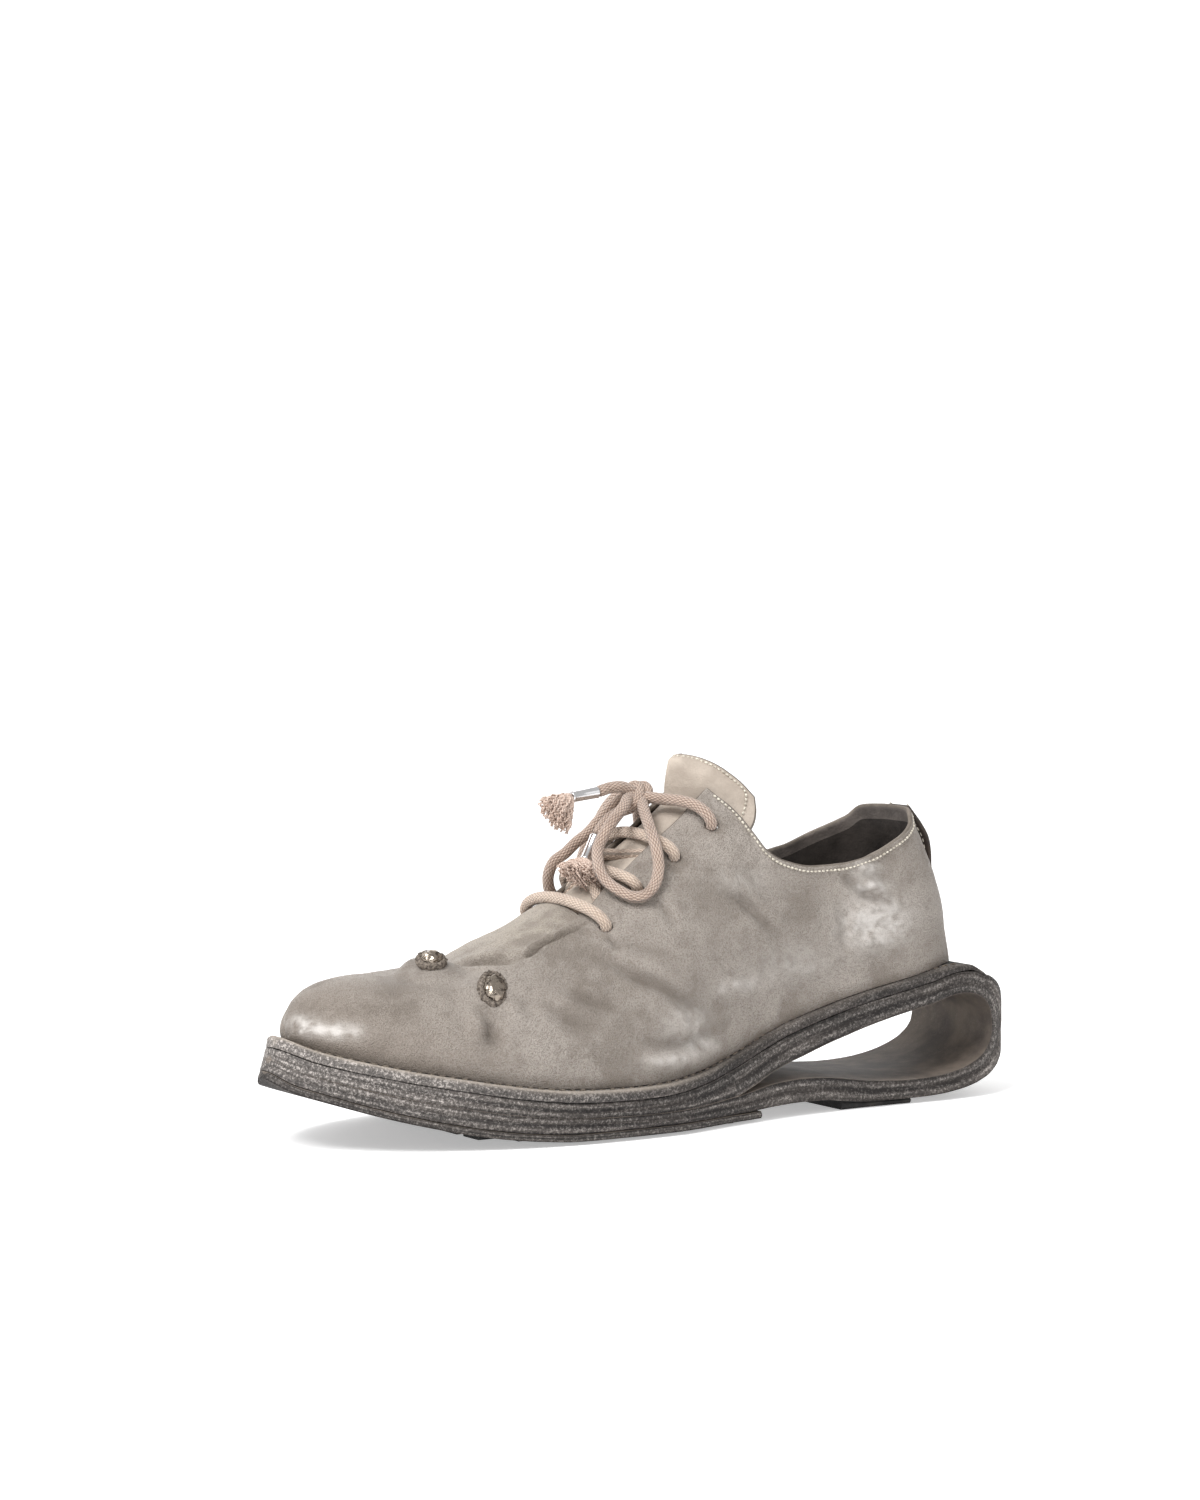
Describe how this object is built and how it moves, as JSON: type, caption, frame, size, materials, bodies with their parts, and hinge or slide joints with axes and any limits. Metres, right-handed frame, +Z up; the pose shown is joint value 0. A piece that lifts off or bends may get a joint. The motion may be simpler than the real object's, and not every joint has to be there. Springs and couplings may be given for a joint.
{
  "type": "derby shoe",
  "caption": "Left derby shoe of plain aged leather with open lacing and tasselled laces, on a thick layered sole whose heel is an open loop.",
  "frame": {"origin": "centre of the footprint on the floor, midway along and across the sole", "axes": "+Z up, the toe points to -X, and the outer side of the foot is -Y"},
  "size_m": [0.312, 0.1066, 0.134],
  "materials": {
    "leather": "aged, waxed, creased grey-taupe",
    "sole": "matt, dusty, layered",
    "welt": "matt, worn pale at the edge",
    "tread": "matt black",
    "insole": "smooth dark leather",
    "strap": "woven tape",
    "stud": "dark, polished, rough at the rim",
    "lace": "braided cotton",
    "aglet": "polished"
  },
  "bodies": {
    "root": {"loop_sole": "sole", "half_sole": "tread", "heel_pad": "tread", "welt": "welt", "upper": "leather", "near_stud": "stud", "far_stud": "stud", "insole": "insole", "tongue": "leather", "pull_strap": "strap", "lace_bar_low": "lace", "lace_bar_mid": "lace", "lace_bar_high": "lace", "lace_knot": "lace", "lace_loop_near": "lace", "lace_loop_far": "lace", "lace_end_fore": "lace", "lace_end_low": "lace", "aglet_fore": "aglet", "aglet_low": "aglet", "tassel_fore": "lace", "tassel_low": "lace"}
  },
  "joints": []
}
